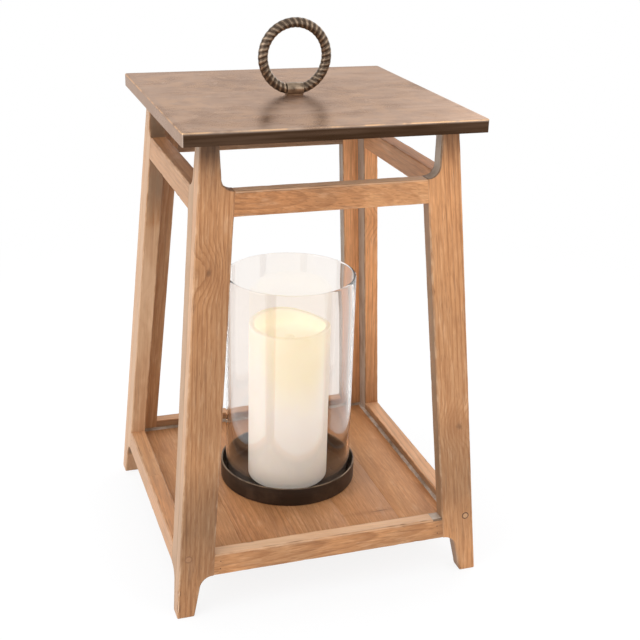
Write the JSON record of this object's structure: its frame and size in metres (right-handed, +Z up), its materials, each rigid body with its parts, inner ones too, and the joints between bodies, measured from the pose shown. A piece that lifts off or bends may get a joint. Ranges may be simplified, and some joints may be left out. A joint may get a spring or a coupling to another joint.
{
  "type": "hanging lantern",
  "caption": "Open wooden lantern with splayed legs, a metal-clad top and carrying ring, and a candle in a glass cylinder on a round pan.",
  "frame": {"origin": "on the floor plane under the middle of the lantern", "axes": "+Z up, +X to the right and -Y towards the viewer of the front"},
  "size_m": [0.279, 0.279, 0.4813],
  "materials": {
    "frame_wood": "oiled, open grain",
    "floor_wood": "oiled, open grain",
    "plug_wood": "oiled end grain",
    "core_wood": "stained",
    "bronze_sheet": "brushed antique bronze, satin",
    "bronze_fitting": "antique bronze",
    "bronze_ring": "antique bronze",
    "dark_bronze_pan": "dark bronze, satin",
    "steel_fastener": "zinc plated",
    "clear_glass": "clear, polished rim",
    "ivory_wax": "smooth wax",
    "white_plastic": "moulded",
    "lamp_plastic": "translucent warm white",
    "switch_plastic": "moulded",
    "battery_can": "printed can, plain"
  },
  "bodies": {
    "frame": {"leg_front_left": "frame_wood", "leg_front_right": "frame_wood", "leg_rear_left": "frame_wood", "leg_rear_right": "frame_wood", "leg_side_front_left": "frame_wood", "leg_side_front_right": "frame_wood", "leg_side_rear_left": "frame_wood", "leg_side_rear_right": "frame_wood", "leg_screw_front_left": "steel_fastener", "leg_screw_front_right": "steel_fastener", "leg_screw_rear_left": "steel_fastener", "leg_screw_rear_right": "steel_fastener", "leg_plug_front_left": "plug_wood", "leg_plug_front_right": "plug_wood", "leg_plug_rear_left": "plug_wood", "leg_plug_rear_right": "plug_wood", "top_screw_front_left": "steel_fastener", "top_screw_front_right": "steel_fastener", "top_screw_rear_left": "steel_fastener", "top_screw_rear_right": "steel_fastener", "lower_rail_front": "frame_wood", "lower_rail_right": "frame_wood", "lower_rail_rear": "frame_wood", "lower_rail_left": "frame_wood", "upper_rail_front": "frame_wood", "upper_rail_right": "frame_wood", "upper_rail_rear": "frame_wood", "upper_rail_left": "frame_wood", "floor_board_1": "floor_wood", "floor_board_2": "floor_wood", "floor_board_3": "floor_wood", "floor_board_4": "floor_wood", "floor_board_5": "floor_wood", "top_board": "core_wood", "top_sheet": "bronze_sheet", "handle_eye": "bronze_fitting", "handle_washer": "steel_fastener", "handle_nut": "steel_fastener", "candle_pan": "dark_bronze_pan", "pan_screw": "steel_fastener"},
    "ring": {"handle_ring": "bronze_ring"},
    "glass": {"glass_cylinder": "clear_glass"},
    "candle": {"candle_wax": "ivory_wax", "candle_insert": "white_plastic", "led_lamp": "lamp_plastic", "battery_left": "battery_can", "battery_right": "battery_can", "battery_door": "white_plastic"},
    "switch": {"candle_switch": "switch_plastic"}
  },
  "joints": [
    {"name": "ring_tilt", "type": "hinge", "parent": "frame", "child": "ring", "pos_m": [0, 0, 0.4217], "axis": [1, 0, 0], "range_deg": [-90, 90]},
    {"name": "glass_lift", "type": "slide", "parent": "frame", "child": "glass", "axis": [0, 0, 1], "range_m": [0, 0.15]},
    {"name": "candle_lift", "type": "slide", "parent": "frame", "child": "candle", "axis": [0, 0, 1], "range_m": [0, 0.18]},
    {"name": "switch_slide", "type": "slide", "parent": "candle", "child": "switch", "axis": [1, 0, 0], "range_m": [0, 0.003]}
  ]
}
